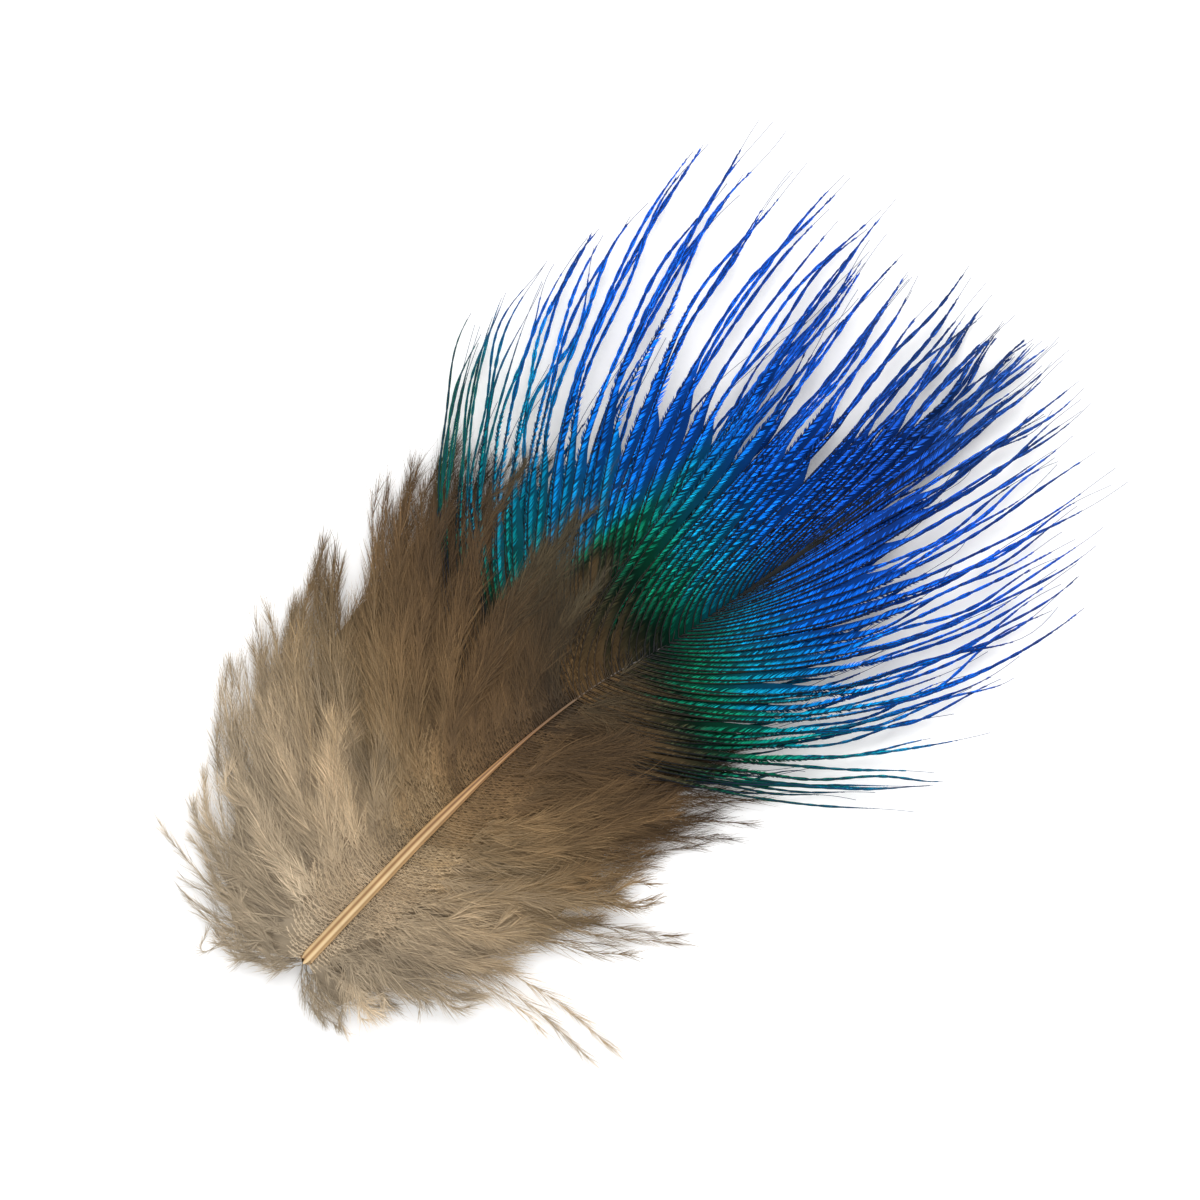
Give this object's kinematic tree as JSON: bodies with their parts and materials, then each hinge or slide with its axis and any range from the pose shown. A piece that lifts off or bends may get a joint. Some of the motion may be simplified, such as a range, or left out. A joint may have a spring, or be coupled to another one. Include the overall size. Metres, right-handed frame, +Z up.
{
  "type": "peacock body feather",
  "caption": "Small blue peacock body feather: a tapering shaft, a fluffy brown down base and arched vanes that part into free hair-thin blue tips.",
  "frame": {"origin": "middle of the feather's length and width, on the surface it lies on", "axes": "+Y from the quill to the tips, +X to the feather's right seen from above, +Z up from the surface"},
  "size_m": [0.0496, 0.0761, 0.0052],
  "materials": {
    "feather": "matt greige to brown down at the base, iridescent green to royal blue barbs at the tip, straw-coloured horn shaft"
  },
  "bodies": {
    "root": {"feather": "feather"}
  },
  "joints": []
}
